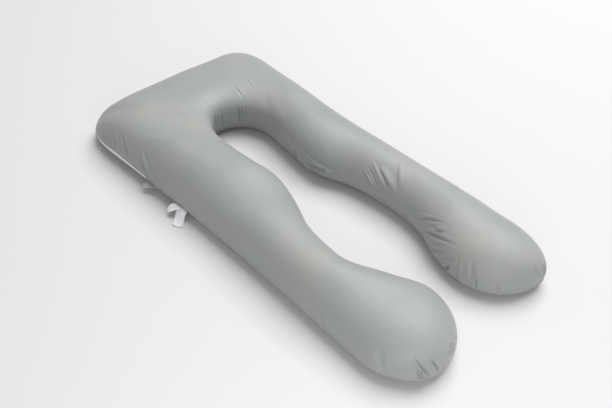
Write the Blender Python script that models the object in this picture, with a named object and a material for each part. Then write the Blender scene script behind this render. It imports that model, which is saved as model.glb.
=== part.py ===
"""A U-shaped body pillow, stuffed and lying flat on a surface.

Metres. X runs across the pillow, from the leg with the zip to the other leg. Y runs from the feet
to the head, and Z is up. Z = 0 is the surface that the pillow lies on, and the origin is below the
middle of the whole, labels included.
"""

import math
from collections import namedtuple

import bmesh
import bpy
from mathutils import Vector

# The cover, from seam to seam, measured from the tips of the feet and from the centre line.
HALF_WIDTH = 0.334
HEAD_MIDDLE = 1.455  # the head's edge on the centre line, a little drawn in between the corners
NECK_CENTRE = 1.020  # where the rounded end of the gap between the legs begins
NECK_END = 1.148
HEAD_CROWN = 0.158  # on the centre line
CORNER_CROWN = 0.160

# A slice is widest at the seam. Its roundness above and below is a power of a superellipse.
SEAM_HEIGHT = 0.032
ROUND_ABOVE = 2.3
ROUND_BELOW = 2.0
BELLY_BELOW = 1.25  # how far the filling would bulge below the seam, in seam heights, if nothing held it
SOFTEST_CORNER = 1.35  # where a corner's slices are least full, in stretches of slices from the centre line
SOFT_REACH = 0.40

# Round the neck the inner seam lies higher, and the cloth turns over it more sharply.
NECK_SEAM_HEIGHT = 0.092
NECK_ROUND_ABOVE = 2.8
NECK_ROUND_BELOW = 3.0
NECK_REACH = 2.35  # in stretches of slices from the centre line
NECK_FALL = 8  # how abruptly this ends, as a power

# Points of a slice, counted round from the outer seam over the top.
SLICE_POINTS = 30

# Slices in each stretch of one half.
HEAD_SLICES = 6
CORNER_SLICES = 8
LEG_SLICES = 30
FOOT_SLICES = 8
FOOT_TAPER = 0.60  # how the height falls towards the tip of a foot, as a power of the width
LAST_TURN = math.radians(86)

# A row for each leg: its side, how far the head's edge reaches over it, the size of its corner, the
# power of the corner's curve and its slices' least roundness, half the neck gap, how far its outer
# side is drawn in, and how its foot turns in and where its tip lies.
Leg = namedtuple(
    "Leg",
    "side head_edge corner_across corner_along corner_curve corner_round neck draw_in foot_in tip_across",
)
ZIP_LEG = Leg(-1, 1.464, 0.070, 0.155, 0.75, 1.75, 0.076, 0.016, 0.005, 0.192)
PLAIN_LEG = Leg(1, 1.440, 0.112, 0.142, 0.80, 2.30, 0.110, 0.030, 0.020, 0.236)

# A row for each slice that sets the shape of the legs: how far it lies from the tips of the feet,
# how far each leg's inner seam lies from the centre line, and how high each leg is.
Section = namedtuple("Section", "name along zip_leg plain_leg zip_crown plain_crown")
SECTIONS = (
    Section("foot", 0.165, 0.040, 0.066, 0.148, 0.152),
    Section("ankle", 0.260, 0.088, 0.085, 0.156, 0.158),
    Section("calf", 0.355, 0.146, 0.128, 0.162, 0.154),
    Section("knee", 0.455, 0.148, 0.145, 0.160, 0.152),
    Section("thigh", 0.550, 0.130, 0.141, 0.162, 0.154),
    Section("hip", 0.650, 0.087, 0.124, 0.160, 0.155),
    Section("belly", 0.745, 0.064, 0.088, 0.174, 0.162),
    Section("chest", 0.840, 0.066, 0.086, 0.172, 0.167),
    Section("neck", NECK_CENTRE, ZIP_LEG.neck, PLAIN_LEG.neck, CORNER_CROWN, CORNER_CROWN),
)

# What is sewn into the outer seam of the leg with the zip. Its places are distances from the feet.
GAP = 0.0004  # clear space between two pieces
ZIP_HEAD_END = 1.425
ZIP_LEG_END = 1.112
TAPE_ABOVE = 0.0120  # how much of each tape shows beside the seam
TAPE_BELOW = 0.0040
TAPE_THICKNESS = 0.0010
COIL_WIDTH = 0.0050
COIL_HEIGHT = 0.0016
COIL_SIDES = 5
FLAP_ALONG = 1.077
FLAP_THICKNESS = 0.0018
LONG_LABEL_ALONG = 0.922
SHORT_LABEL_ALONG = 0.937
LABEL_THICKNESS = 0.0010

# A row for each fold across a sewn-in cloth: how far it lies out from the seam and towards the head,
# its height, its width, and the turn of its edge towards the feet, in degrees.
Fold = namedtuple("Fold", "out along height width turn")
FLAP_FOLDS = (
    Fold(0.000, 0.000, 0.030, 0.060, 0),
    Fold(0.010, 0.008, 0.029, 0.042, 4),
    Fold(0.020, 0.016, 0.025, 0.021, 10),
    Fold(0.028, 0.023, 0.021, 0.004, 14),
)
LONG_LABEL_FOLDS = (
    Fold(0.000, 0.000, 0.0295, 0.040, 0),
    Fold(0.009, -0.001, 0.025, 0.039, 4),
    Fold(0.017, -0.003, 0.014, 0.038, 9),
    Fold(0.023, -0.006, 0.005, 0.037, 14),
    Fold(0.031, -0.011, 0.001, 0.035, 19),
    Fold(0.040, -0.017, 0.001, 0.032, 23),
    Fold(0.047, -0.022, 0.004, 0.028, 25),
)
SHORT_LABEL_FOLDS = (
    Fold(0.000, 0.000, 0.031, 0.038, 0),
    Fold(0.008, 0.005, 0.033, 0.036, -10),
    Fold(0.018, 0.013, 0.031, 0.033, -24),
    Fold(0.026, 0.022, 0.024, 0.029, -34),
    Fold(0.029, 0.027, 0.016, 0.025, -38),
)

# Moves the whole, labels included, to the middle of the frame.
CENTRE_ACROSS = 0.0195
CENTRE_ALONG = 0.732

Rib = namedtuple("Rib", "outer inner crown roundness neck rise")


def read_column(rows, column, along):
    """The column's value at a place between two rows, on a smooth curve through them all."""
    places = [row.along for row in rows]
    values = [getattr(row, column) for row in rows]
    last = len(rows) - 1
    row = max(i for i in range(last) if places[i] <= along or i == 0)

    def slope(i):
        if i in (0, last):
            return 0
        return (values[i + 1] - values[i - 1]) / (places[i + 1] - places[i - 1])

    step = places[row + 1] - places[row]
    t = (along - places[row]) / step
    return (
        (2 * t**3 - 3 * t**2 + 1) * values[row]
        + (t**3 - 2 * t**2 + t) * step * slope(row)
        + (3 * t**2 - 2 * t**3) * values[row + 1]
        + (t**3 - t**2) * step * slope(row + 1)
    )


def half_ribs(leg, gap_column, crown_column):
    """The slices of one half, from the centre line of the head to the tip of the foot."""

    def place(across, along):
        return Vector((leg.side * across, along))

    def neck_edge(angle):
        return place(leg.neck * math.sin(angle), NECK_CENTRE + (NECK_END - NECK_CENTRE) * math.cos(angle))

    def roundness(stretches):
        softness = math.exp(-(((stretches - SOFTEST_CORNER) / SOFT_REACH) ** 2))
        return ROUND_ABOVE + (leg.corner_round - ROUND_ABOVE) * softness

    def neckness(stretches):
        return math.exp(-((stretches / NECK_REACH) ** NECK_FALL))

    ribs = []
    corner_start = HALF_WIDTH - leg.corner_across
    for i in range(HEAD_SLICES):
        t = i / HEAD_SLICES
        ease = (1 - math.cos(math.pi * t)) / 2
        edge = HEAD_MIDDLE + (leg.head_edge - HEAD_MIDDLE) * ease
        crown = HEAD_CROWN + (CORNER_CROWN - HEAD_CROWN) * ease
        outer = place(t * corner_start, edge)
        ribs.append(Rib(outer, neck_edge(t * math.pi / 4), crown, roundness(t), neckness(t), 1))

    corner_end = leg.head_edge - leg.corner_along
    for i in range(CORNER_SLICES):
        t = i / CORNER_SLICES
        turn = math.pi / 2 * t
        outer = place(
            corner_start + leg.corner_across * math.sin(turn) ** leg.corner_curve,
            corner_end + leg.corner_along * math.cos(turn) ** leg.corner_curve,
        )
        inner = neck_edge((1 + t) * math.pi / 4)
        ribs.append(Rib(outer, inner, CORNER_CROWN, roundness(1 + t), neckness(1 + t), 1))

    foot = SECTIONS[0]
    for i in range(LEG_SLICES + 1):
        t = i / LEG_SLICES
        across = HALF_WIDTH - leg.draw_in * math.sin(math.pi * t) - leg.foot_in * t**3
        outer = place(across, corner_end + (foot.along - corner_end) * t)
        along = NECK_CENTRE + (foot.along - NECK_CENTRE) * t
        inner = place(read_column(SECTIONS, gap_column, along), along)
        crown = read_column(SECTIONS, crown_column, along)
        ribs.append(Rib(outer, inner, crown, roundness(2 + t), neckness(2 + t), 1))

    last = ribs[-1]
    middle = place(leg.tip_across, foot.along)
    for i in range(1, FOOT_SLICES + 1):
        turn = LAST_TURN * i / FOOT_SLICES
        shrink = math.cos(turn)
        toward_tip = Vector((0, -foot.along * math.sin(turn)))
        outer = middle + (last.outer - middle) * shrink + toward_tip
        inner = middle + (last.inner - middle) * shrink + toward_tip
        ribs.append(Rib(outer, inner, last.crown, last.roundness, last.neck, shrink**FOOT_TAPER))
    return ribs


def slice_point(rib, turn):
    """A point on a rib's outline: turn 0 is its outer side, and a quarter turn its crown."""
    cosine, sine = math.cos(turn), math.sin(turn)
    seam, above, below = SEAM_HEIGHT, rib.roundness, ROUND_BELOW
    if cosine < 0:
        seam += (NECK_SEAM_HEIGHT - SEAM_HEIGHT) * rib.neck
        above = ROUND_ABOVE + (NECK_ROUND_ABOVE - ROUND_ABOVE) * rib.neck
        below += (NECK_ROUND_BELOW - ROUND_BELOW) * rib.neck
    power = 2 / (above if sine >= 0 else below)
    spread = math.copysign(abs(cosine) ** power, cosine)
    if sine >= 0:
        lift = (rib.crown - seam) * sine**power
    else:
        lift = max(-BELLY_BELOW * seam * abs(sine) ** power, -seam)
    spot = (rib.outer + rib.inner) / 2 + (rib.outer - rib.inner) / 2 * spread
    return Vector((spot.x, spot.y, seam + lift * rib.rise))


def slice_outline(rib):
    return [slice_point(rib, 2 * math.pi * i / SLICE_POINTS) for i in range(SLICE_POINTS)]


def rib_at(ribs, along):
    """The slice whose outer seam lies at a distance from the feet, between two of a leg's ribs."""
    leg_ribs = ribs[HEAD_SLICES:]
    before, after = next(
        pair for pair in zip(leg_ribs, leg_ribs[1:]) if pair[0].outer.y >= along > pair[1].outer.y
    )
    t = (before.outer.y - along) / (before.outer.y - after.outer.y)
    mixed = (a + (b - a) * t for a, b in zip(before[:5], after[:5]))
    return Rib(*mixed, before.rise)


def zip_ribs(ribs):
    """The slices that the zip runs over, with one at each of its ends."""
    between = [rib for rib in ribs[HEAD_SLICES:] if ZIP_LEG_END < rib.outer.y < ZIP_HEAD_END]
    return [rib_at(ribs, ZIP_HEAD_END), *between, rib_at(ribs, ZIP_LEG_END)]


def away_from(direction, rib):
    """The way out of the pillow, square to a direction in the slice."""
    outward = (rib.outer - rib.inner).to_3d().normalized()
    return (outward - direction * outward.dot(direction)).normalized()


def tape_rings(ribs, step, width):
    """A zip tape on the panel above (step 1) or below (step -1) the seam."""
    rings = []
    for rib in zip_ribs(ribs):
        outline = slice_outline(rib)
        along_panel = (outline[step] - outline[0]).normalized()
        out = away_from(along_panel, rib)
        edges = outline[0] + along_panel * GAP, outline[0] + along_panel * width
        inner, outer = out * GAP, out * (GAP + TAPE_THICKNESS)
        rings.append([edges[0] + inner, edges[1] + inner, edges[1] + outer, edges[0] + outer])
    return rings


def coil_rings(ribs):
    """The closed teeth: a half-round bead over the seam, on the edges of the two tapes."""
    rings = []
    for rib in zip_ribs(ribs):
        outline = slice_outline(rib)
        upward = (outline[1] - outline[-1]).normalized()
        out = away_from(upward, rib)
        base = outline[0] + out * (TAPE_THICKNESS + 2 * GAP)
        turns = [math.pi * i / COIL_SIDES for i in range(COIL_SIDES + 1)]
        half, proud = upward * (COIL_WIDTH / 2), out * COIL_HEIGHT
        rings.append([base + half * math.cos(turn) + proud * math.sin(turn) for turn in turns])
    return rings


def cloth_rings(ribs, along, folds, thickness):
    """A piece of cloth that is sewn into the seam and lies over a row of folds."""
    reach = folds[0].width / 2
    toward_head, toward_feet = (slice_point(rib_at(ribs, along + step), 0) for step in (reach, -reach))
    seam_way = (toward_feet - toward_head).normalized()
    out_way = seam_way.cross(Vector((0, 0, 1))).normalized()
    middle = (toward_head + toward_feet) / 2
    spots = []
    for fold in folds:
        spot = middle + out_way * (GAP + fold.out) - seam_way * fold.along
        spots.append(Vector((spot.x, spot.y, fold.height)))
    rings = []
    for i, (spot, fold) in enumerate(zip(spots, folds)):
        turn = math.radians(fold.turn)
        half = (seam_way * math.cos(turn) - out_way * math.sin(turn)) * (fold.width / 2)
        ahead = spots[min(i + 1, len(spots) - 1)] - spots[max(i - 1, 0)]
        up = ahead.cross(half).normalized() * (thickness / 2)
        rings.append([spot - half - up, spot + half - up, spot + half + up, spot - half + up])
    return rings


def fabric(name, color, roughness):
    material = bpy.data.materials.new(name)
    material.use_nodes = True
    shader = material.node_tree.nodes["Principled BSDF"]
    shader.inputs["Base Color"].default_value = (*color, 1)
    shader.inputs["Roughness"].default_value = roughness
    shader.inputs["Metallic"].default_value = 0
    return material


def loft(name, rings, material, collection):
    """A closed body through rings of points, its ends drawn to the middle of the first and the last."""
    mesh = bmesh.new()
    centre = Vector((CENTRE_ACROSS, -CENTRE_ALONG, 0))
    loops = [[mesh.verts.new(point + centre) for point in ring] for ring in rings]
    for loop, following in zip(loops, loops[1:]):
        for i, vert in enumerate(loop):
            j = (i + 1) % len(loop)
            mesh.faces.new((vert, following[i], following[j], loop[j]))
    for loop in (loops[0], loops[-1]):
        middle = mesh.verts.new(sum((vert.co for vert in loop), Vector()) / len(loop))
        for i, vert in enumerate(loop):
            mesh.faces.new((vert, loop[(i + 1) % len(loop)], middle))
    bmesh.ops.recalc_face_normals(mesh, faces=mesh.faces)
    data = bpy.data.meshes.new(name)
    mesh.to_mesh(data)
    mesh.free()
    data.shade_smooth()
    data.materials.append(material)
    obj = bpy.data.objects.new(name, data)
    collection.objects.link(obj)
    return obj


def main():
    for old in list(bpy.data.objects):
        bpy.data.objects.remove(old)
    collection = bpy.data.collections.new("body_pillow")
    bpy.context.scene.collection.children.link(collection)

    cover = fabric("cover", (0.30, 0.31, 0.30), 0.50)
    zip_cloth = fabric("zip_cloth", (0.86, 0.87, 0.85), 0.60)
    zip_teeth = fabric("zip_teeth", (0.29, 0.31, 0.30), 0.40)
    label_cloth = fabric("label_cloth", (0.83, 0.83, 0.86), 0.45)

    leg = half_ribs(ZIP_LEG, "zip_leg", "zip_crown")
    ribs = leg[::-1] + half_ribs(PLAIN_LEG, "plain_leg", "plain_crown")[1:]
    loft("pillow", [slice_outline(rib) for rib in ribs], cover, collection)
    loft("zip_tape_upper", tape_rings(leg, 1, TAPE_ABOVE), zip_cloth, collection)
    loft("zip_tape_lower", tape_rings(leg, -1, TAPE_BELOW), zip_cloth, collection)
    loft("zip_coil", coil_rings(leg), zip_teeth, collection)

    flap = cloth_rings(leg, FLAP_ALONG, FLAP_FOLDS, FLAP_THICKNESS)
    long_label = cloth_rings(leg, LONG_LABEL_ALONG, LONG_LABEL_FOLDS, LABEL_THICKNESS)
    short_label = cloth_rings(leg, SHORT_LABEL_ALONG, SHORT_LABEL_FOLDS, LABEL_THICKNESS)
    loft("zip_flap", flap, cover, collection)
    loft("care_label_long", long_label, label_cloth, collection)
    loft("care_label_short", short_label, label_cloth, collection)


main()
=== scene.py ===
"""The looks of a U-shaped body pillow: a stuffed, satin-smooth cover, a zip and blank care labels.

Metres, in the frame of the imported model: X across the pillow from the leg with the zip to the other
leg, Y towards the head, Z up from the surface that it lies on.
"""

import math
from collections import namedtuple

import bmesh
import bpy
import numpy as np
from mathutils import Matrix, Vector
from mathutils.kdtree import KDTree


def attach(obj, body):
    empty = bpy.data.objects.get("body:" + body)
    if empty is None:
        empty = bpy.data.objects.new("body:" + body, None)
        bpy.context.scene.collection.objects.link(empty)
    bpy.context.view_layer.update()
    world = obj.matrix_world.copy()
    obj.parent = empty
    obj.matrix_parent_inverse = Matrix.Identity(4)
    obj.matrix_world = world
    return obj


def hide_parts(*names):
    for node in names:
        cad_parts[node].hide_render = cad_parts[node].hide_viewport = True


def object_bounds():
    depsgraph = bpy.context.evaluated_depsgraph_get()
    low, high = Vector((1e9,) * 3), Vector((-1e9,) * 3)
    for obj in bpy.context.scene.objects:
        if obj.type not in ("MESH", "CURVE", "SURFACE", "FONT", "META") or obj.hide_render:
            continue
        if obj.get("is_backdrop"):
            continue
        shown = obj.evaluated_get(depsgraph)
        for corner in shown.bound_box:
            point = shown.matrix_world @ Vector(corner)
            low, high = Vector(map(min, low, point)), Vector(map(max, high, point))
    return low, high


TURN = 2 * math.pi
MM = 0.001

# The view.
VIEW_TURN = math.radians(43.04)  # clockwise from +Y, seen from above
VIEW_DROP = math.radians(43.3)  # below the horizon
VIEW_TARGET = Vector((-0.0610, -0.1064, 0.100))
VIEW_DISTANCE = 2.226
VIEW_LENS = 44.25  # on a 36 mm sensor

# The stuffed cover, as it is cut and sewn: the same sizes as the plain solid's.
HALF_WIDTH = 0.334
HEAD_MIDDLE = 1.455
NECK_CENTRE = 1.020
NECK_END = 1.148
HEAD_CROWN = 0.158
CORNER_CROWN = 0.160
SEAM_HEIGHT = 0.032
ROUND_ABOVE = 2.3
ROUND_BELOW = 2.0
BELLY_BELOW = 1.25
SOFTEST_CORNER = 1.35
SOFT_REACH = 0.40
NECK_SEAM_HEIGHT = 0.092
NECK_ROUND_ABOVE = 2.8
NECK_ROUND_BELOW = 3.0
NECK_REACH = 2.35
NECK_FALL = 8
FOOT_TAPER = 0.60
CENTRE = np.array((0.0195, -0.732, 0.0))

Leg = namedtuple(
    "Leg",
    "side head_edge corner_across corner_along corner_curve corner_round "
    "neck draw_in foot_in tip_across",
)
ZIP_LEG = Leg(-1, 1.464, 0.070, 0.155, 0.75, 1.75, 0.076, 0.016, 0.005, 0.192)
PLAIN_LEG = Leg(1, 1.440, 0.112, 0.142, 0.80, 2.30, 0.110, 0.030, 0.020, 0.236)

Section = namedtuple("Section", "name along zip_leg plain_leg zip_crown plain_crown")
SECTIONS = (
    Section("foot", 0.165, 0.040, 0.066, 0.148, 0.152),
    Section("ankle", 0.260, 0.088, 0.085, 0.156, 0.158),
    Section("calf", 0.355, 0.146, 0.128, 0.162, 0.154),
    Section("knee", 0.455, 0.148, 0.145, 0.160, 0.152),
    Section("thigh", 0.550, 0.130, 0.141, 0.162, 0.154),
    Section("hip", 0.650, 0.087, 0.124, 0.160, 0.155),
    Section("belly", 0.745, 0.064, 0.088, 0.174, 0.162),
    Section("chest", 0.840, 0.066, 0.086, 0.172, 0.167),
    Section("neck", NECK_CENTRE, ZIP_LEG.neck, PLAIN_LEG.neck, CORNER_CROWN, CORNER_CROWN),
)

# The cloth's grid while it swells: slices in each half, and points over and under each slice.
STATIONS = 240
TOP_COLUMNS = 60
UNDER_COLUMNS = 22
DENSE = 400  # samples of each stretch of the outline
PANEL_SAMPLES = 2000

# How the cloth swells.
START_INSET = 0.0005  # it starts this far inside the plain solid
SEAM_HOLD = 0.012  # the seam holds the cloth as far as this
WEIGHT_STEPS = 20
SPARE_CLOTH = 0.003  # how much longer the cloth is than the plain solid, as a share
CLOTH = {
    "quality": 5,
    "mass": 0.3,
    "tension_stiffness": 12,
    "compression_stiffness": 12,
    "shear_stiffness": 8,
    "bending_stiffness": 0.3,
    "use_pressure": True,
    "uniform_pressure_force": 150,
    "shrink_min": -SPARE_CLOTH,
    "shrink_max": -SPARE_CLOTH,
}
SWELL_FRAMES = 20
MOST_SWELL = 0.006
CALM_SWELL = 0.22  # this share of it where the cloth lies smooth
CALM_STRETCHES = ((-1.46, -0.72), (-0.42, 0.44))  # along the cover, the leg with the zip below 0
CALM_EDGE = 0.10
EVENING_PASSES = 2

# The finished grid: its slices' spacing, and its points' spacing at the seams and away from them.
FINE_STEP = 0.0030
SEAM_STEP = 0.0011
WIDE_STEP = 0.0035
WIDE_FROM = 0.028

# The seam that joins the top and the bottom panel, and the gathers along it.
SEAM_DEPTH = 0.0016
SEAM_WIDTH = 0.0022
GATHER_DEPTH = 0.0013
GATHER_SHARE = (0.3, 1.0)  # of this depth
GATHER_STEP = (0.009, 0.022)
GATHER_REACH = (0.014, 0.045)
GATHER_WIDTH = (0.0022, 0.0045)
GATHER_SLANT = 0.35
GATHER_START = 0.006  # closer to the seam than this, a gather is shallower
GATHER_EASE = 0.6  # by this share at the seam
GATHER_SEED = 5
CURVE_SPAN = 0.030  # how far either way along the seam its curve is measured
TIGHT_CURVE = 9.0  # the seam's curvature, in radians to the metre, where it is gathered most

# The main creases, in millimetres and degrees. Each runs between two places, given
# as the distance along the cover from the middle of the head, the leg with the zip below 0, and the
# turn round the slice: 0 at the outer seam, 90 on the crown, 180 at the inner seam. It bows by so
# much along the cover, stands proud or lies deep by its height, and its flanks differ by its lean.
Crease = namedtuple("Crease", "start start_turn end end_turn bow height width lean")
CREASE_UNITS = Crease(MM, 1, MM, 1, MM, MM, MM, 1)
CREASES = (
    # The top of the head.
    (-212, 100, -268, 118, -3, -1.9, 3.4, 0.3),
    (172, 112, 208, 148, 2, -1.9, 3, -0.3),
    (250, 102, 272, 124, 1, -1.4, 3, -0.3),
    # The wall round the neck.
    (-60, 168, -46, 206, 0, -3.4, 3.4, 0.3),
    (-12, 170, -8, 200, 0, -2, 2.8, 0),
    (30, 170, 46, 208, 0, -3.6, 3.6, 0.3),
    (157, 164, 166, 202, 2, -3.2, 3, 0.3),
    (178, 164, 187, 204, -2, -3.8, 3.2, 0.3),
    (203, 164, 208, 194, 0, -2.4, 3, 0),
    (330, 168, 352, 196, 0, -1.8, 4.4, 0),
    # Above the zip.
    (-332, 21, -358, 7, 0, -3, 3.4, 0),
    (-358, 25, -392, 7, 0, -3.6, 4, 0),
    (-364, 41, -434, 9, -2, 4.2, 4.6, 0.2),
    (-394, 41, -484, 9, -3, -4.8, 5.2, 0),
    (-448, 30, -500, 8, -3, 2.6, 7, 0),
    (-496, 40, -616, 2, 0, 5, 5.6, 0.2),
    (-518, 25, -590, 3, 0, -3.6, 5, 0),
    (-600, 18, -652, 2, 0, -3.4, 5, 0),
    # The far leg, where it turns from the belly.
    (630, 171, 760, 176, -3, 4.2, 4, 0.3),
    (616, 186, 730, 177, 0, -5.8, 5.6, 0),
    (636, 198, 728, 186, 0, -4.4, 5.2, 0),
    (640, 170, 652, 240, 0, 4.6, 26, -0.3),
    (520, 174, 553, 208, 0, 5.4, 4.6, -0.2),
    (564, 172, 570, 212, 0, -8.4, 4.8, 0.3),
    (500, 166, 548, 180, 0, 2.2, 5, 0),
    # Drawn folds down the far leg's inner wall.
    (890, 145, 963, 170, 0, 3.6, 3, 0.2),
    (880, 150, 952, 171, 0, -3, 2.8, 0),
    (906, 134, 972, 166, 3, -3.4, 4.4, 0),
    (914, 120, 1010, 162, 2, 2.8, 5, 0.2),
    (938, 128, 1042, 160, 1, -2.4, 4.2, 0),
    (950, 122, 1048, 154, 3, 4.2, 7.4, 0.5),
    (1036, 88, 1060, 148, 2, 2.2, 11, 0.5),
    # The fan at the start of the far foot.
    (1158, 168, 1320, 124, -6, -3.4, 3.4, 0),
    (1160, 161, 1250, 136, -4, 1.8, 4, 0),
    (1192, 169, 1288, 141, 0, -2.2, 4.4, 0),
    (1264, 152, 1330, 137, 0, -3, 3.6, 0.2),
    (1272, 146, 1326, 132, 0, 2, 3.2, 0),
    (1212, 170, 1400, 137, -10, -4.8, 4.6, 0.2),
    (1232, 170, 1358, 146, 0, 3, 4.6, 0),
    (1262, 178, 1368, 158, 2, -3.4, 6, 0),
    (1330, 172, 1420, 154, 2, -1.8, 5, 0),
    # The far foot.
    (1360, 194, 1394, 168, 0, -10, 5.2, 0.2),
    (1404, 144, 1428, 182, 2, -2.2, 7.2, 0),
    (1420, 148, 1444, 182, 0, 2.2, 4, 0.2),
    (1452, 138, 1478, 174, -2, -2.2, 6.8, 0.2),
    (1480, 160, 1488, 186, 0, -6.6, 3.2, 0.5),
    (1536, 158, 1549, 186, 0, -4.4, 2.8, 0.4),
    (1572, 90, 1630, 138, 3, -2.2, 2.8, 0.3),
    (1600, 94, 1648, 146, 0, -1.6, 2.6, 0),
    (1606, 90, 1650, 36, 0, -5.8, 3.6, 0.3),
    (1590, 68, 1640, 20, 0, -2.6, 3.2, 0),
    (1200, 46, 1262, 84, 0, -2.2, 8, 0),
    (1236, 44, 1286, 80, 3, 1.8, 6, 0),
    # The near foot.
    (-1562, 52, -1634, 2, -18, -5.4, 2.8, 0),
    (-1556, 48, -1627, 2, -18, 2.6, 2.6, 0),
    (-1602, 28, -1620, 0, 0, -8.4, 4.6, 0),
    (-1596, 67, -1666, 10, -14, -5, 2.8, 0),
    (-1590, 64, -1659, 10, -14, 2.4, 2.6, 0),
    (-1602, 114, -1610, 164, 0, 2.2, 3, 0),
    (-1614, 92, -1634, 156, 0, 3.6, 3, 0),
    (-1630, 94, -1646, 160, 0, -3.4, 3.4, 0),
    (-1640, 90, -1654, 150, 0, -2.4, 2.6, 0),
    (-1492, 40, -1528, 4, 0, -2.4, 9, 0),
    (-1300, 24, -1332, 2, 0, -1.8, 7, 0),
)
CREASE_SAMPLES = 64
AT_SEAM = 4  # a crease that starts or ends this few degrees from a seam runs into it
CREASE_END = 0.40  # how much of its length a crease takes to reach its full height
CREASE_TAPER = 0.55  # how narrow it is at its ends
CREASE_SHOULDER = 0.30  # how far the cloth lifts beside a trough, or sinks beside a fold
CREASE_MARGIN = 4  # how many of its widths to each side a crease or a gather is felt

# The zip, as distances from the tips of the feet and from the seam.
ZIP_HEAD_END = 1.425
ZIP_LEG_END = 1.112
TAPE_ABOVE = 0.0120
TAPE_GAPE = 0.0045  # how much more of the upper tape shows halfway along the zip
TAPE_BELOW = 0.0040
TAPE_THICKNESS = 0.0008
TAPE_START = 0.0004  # each tape's edge lies this far from the seam, under the coil
TAPE_SINK = 0.0010  # how deep the tapes lie between the hems of the cover
TAPE_LIFT = 0.0007  # the tapes' and the coil's height over the sunk cover
COIL_LIFT = 0.0017
STRIP_COLUMNS = 7
HEM_LIFT = 0.0008
HEM_WIDTH = 0.0036
COIL_WIDTH = 0.0048
COIL_HEIGHT = 0.0016
COIL_CORE = 0.7  # shares of the coil's width: its core, and a tooth
TOOTH_SHARE = 0.85
TOOTH_PITCH = 0.0016
TOOTH_FILL = 0.82
TOOTH_SHIFT = 0.10
ZIP_END_REACH = 0.010
SEAM_NEIGHBOURS = 16  # how many of a slice's points on each side of the seam the zip lies among
STITCH_PITCH = 0.0032
STITCH_FILL = 0.72
STITCH_INSET = 0.0022
THREAD = 0.0005
BAR_SEGMENTS = 8
BAR_RINGS = 6

# Strips of cloth.
SLAB_EDGE = 0.35  # a strip's thickness at its edges, as a share
FOLD_ROWS = 40
FOLD_COLUMNS = 17
FOLD_GAP = 0.0003
FLAP_HEM_ROWS = 34
FLAP_HEM_COLUMN = 2

# Sewn-in cloth: where it lies along the seam, how far its long edges curl up, its ripples and its
# folds, as in the plain solids. Each fold gives how far the cloth has come, out from the seam and
# along it towards the head, its height and width there, in millimetres, and its turn in degrees.
FOLD_UNITS = (MM, MM, MM, MM, 1)
SewnIn = namedtuple("SewnIn", "node slot along thickness curl ripples slant ripple_height folds")
FLAP = SewnIn("zip_flap", "cover", 1.077, 0.0016, 0.03, 0.8, 0.2, 0.0006, (
    (0, 0, 30, 60, 0),
    (10, 8, 29, 42, 4),
    (20, 16, 25, 21, 10),
    (28, 23, 21, 4, 14),
))
LONG_LABEL = SewnIn("care_label_long", "label_cloth", 0.922, 0.0007, 0.06, 1.6, 0.35, 0.0011, (
    (0, 0, 29.5, 40, 0),
    (9, -1, 25, 39, 4),
    (17, -3, 14, 38, 9),
    (23, -6, 5, 37, 14),
    (31, -11, 1, 35, 19),
    (40, -17, 1, 32, 23),
    (47, -22, 4, 28, 25),
))
SHORT_LABEL = SewnIn("care_label_short", "label_cloth", 0.937, 0.0007, -0.05, 1.3, -0.3, 0.0009, (
    (0, 0, 31, 38, 0),
    (8, 5, 33, 36, -10),
    (18, 13, 31, 33, -24),
    (26, 22, 24, 29, -34),
    (29, 27, 16, 25, -38),
))

# Finishes. Colours are linear, scales are in turns to the metre and pitches in metres. A tone, a
# gloss or a slub is how much the colour or the roughness changes with it.
COVER_PALE = (0.326, 0.333, 0.314)
COVER_DARK = (0.270, 0.293, 0.288)
# The flap's colours: the cover's, made paler as painted light.
FLAP_PAINTED_LIGHT_PALE = (0.44, 0.45, 0.43)
FLAP_PAINTED_LIGHT_DARK = (0.37, 0.39, 0.38)
COVER_ROUGHNESS = 0.5
COVER_GLOSS = 0.2
COVER_SHEEN = 0.15
COVER_TONE_SCALE = 5.0
COVER_TONE = 1.6
COVER_SLUB = 0.5
COVER_THREAD = 0.15
THREAD_PITCH = 0.0009
THREAD_HEIGHT = 0.00002
SLUB_SCALE = (900, 60, 1)
CRUMPLE_SCALE = 34.0
CRUMPLE_HEIGHT = 0.0012
TAPE_PALE = (0.92, 0.93, 0.91)
TAPE_DARK = (0.80, 0.82, 0.79)
TAPE_ROUGHNESS = 0.62
TAPE_RIB = 0.0008
TAPE_RIB_TONE = 0.16
TAPE_ZIGZAG = 0.0040
TAPE_WEAR_SCALE = (180, 60, 1)
TAPE_WEAR_GLOSS = 0.3
LABEL_PALE = (0.90, 0.90, 0.93)
LABEL_DARK = (0.76, 0.76, 0.80)
LABEL_ROUGHNESS = 0.42
LABEL_SHEEN = 0.1
LABEL_RIB = 0.0007
LABEL_RIB_TONE = 0.1
LABEL_RIB_HEIGHT = 0.00003
LABEL_SHADE_SCALE = (900, 120, 1)
LABEL_SHADE_GLOSS = 0.4
Speckle = namedtuple("Speckle", "dark pale tone roughness gloss scale")
NYLON = Speckle((0.24, 0.26, 0.25), (0.34, 0.36, 0.35), 1.0, 0.36, 0.2, 260)
SEWING_THREAD = Speckle((0.26, 0.28, 0.27), (0.36, 0.38, 0.37), 1.0, 0.55, 0.3, 900)
FLOOR = Speckle((0.63, 0.63, 0.63), (0.66, 0.66, 0.66), 0.2, 0.85, 0.2, 1.6)
FLOOR_REACH = 9.0

# Light.
WORLD_STRENGTH = 0.40
Lamp = namedtuple("Lamp", "name azimuth elevation distance size power")
LAMPS = (
    Lamp("key", 85, 65, 6.0, 4.8, 420),
    Lamp("fill", 215, 16, 2.1, 1.4, 14),
)


# ---- small helpers

def fade(distance, reach):
    """1 at no distance, falling smoothly to 0 at the reach."""
    t = np.clip(distance / reach, 0, 1)
    return 1 - t * t * (3 - 2 * t)


def unit(vectors):
    return vectors / np.maximum(np.linalg.norm(vectors, axis=-1, keepdims=True), 1e-12)


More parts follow.
